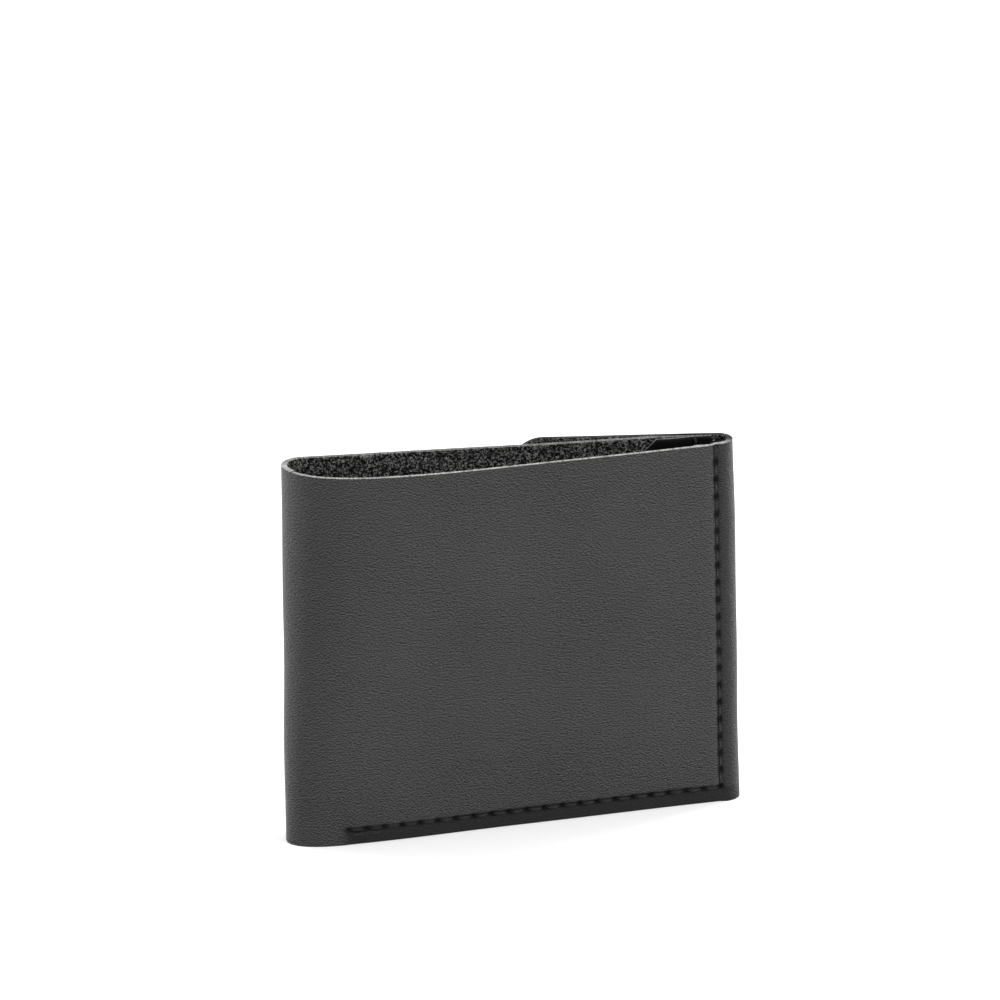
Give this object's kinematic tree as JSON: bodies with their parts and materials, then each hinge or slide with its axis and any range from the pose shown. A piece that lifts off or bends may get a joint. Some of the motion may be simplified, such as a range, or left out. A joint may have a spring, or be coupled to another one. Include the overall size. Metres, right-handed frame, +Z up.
{
  "type": "bifold wallet",
  "caption": "Black leather bifold wallet, closed and upright, with a closing flap round the back and an L-sewn card pocket inside each half.",
  "frame": {"origin": "middle of the bottom of the closed wallet's box, on the surface that it stands on", "axes": "+Z up, +X from the spine to the right fold, +Y from the front half to the back half"},
  "size_m": [0.107, 0.0216, 0.09],
  "materials": {
    "cover_leather": "smooth fine-pebbled black grain outside, rough flesh side inside, raw light grey cut edges",
    "pocket_leather": "smooth black grain facing the inside, raw cut edges",
    "seam_thread": "waxed black twisted thread"
  },
  "bodies": {
    "front": {"front_cover": "cover_leather", "front_pocket": "pocket_leather", "front_needle_thread": "seam_thread", "front_bobbin_thread": "seam_thread"},
    "spine": {"spine_fold": "cover_leather"},
    "back": {"back_cover": "cover_leather", "back_pocket": "pocket_leather", "back_needle_thread": "seam_thread", "back_bobbin_thread": "seam_thread"},
    "flap": {"closing_flap": "cover_leather"}
  },
  "joints": [
    {"name": "wallet_opening", "type": "hinge", "parent": "spine", "child": "back", "pos_m": [-0.05273, 0.00774, 0], "axis": [0, 0, 1], "range_deg": [0, 132], "deforming": ["closing_flap"]},
    {"name": "spine_flex", "type": "hinge", "parent": "front", "child": "spine", "pos_m": [-0.04454, -0.00563, 0], "axis": [0, 0, 1], "range_deg": [0, 48]},
    {"name": "flap_opening", "type": "hinge", "parent": "front", "child": "flap", "pos_m": [0.05347, -0.00702, 0], "axis": [0, 0, -1], "range_deg": [0, 166]}
  ],
  "couplings": [
    {"joint": "spine_flex", "follows": "wallet_opening", "ratio": 0.3636}
  ]
}
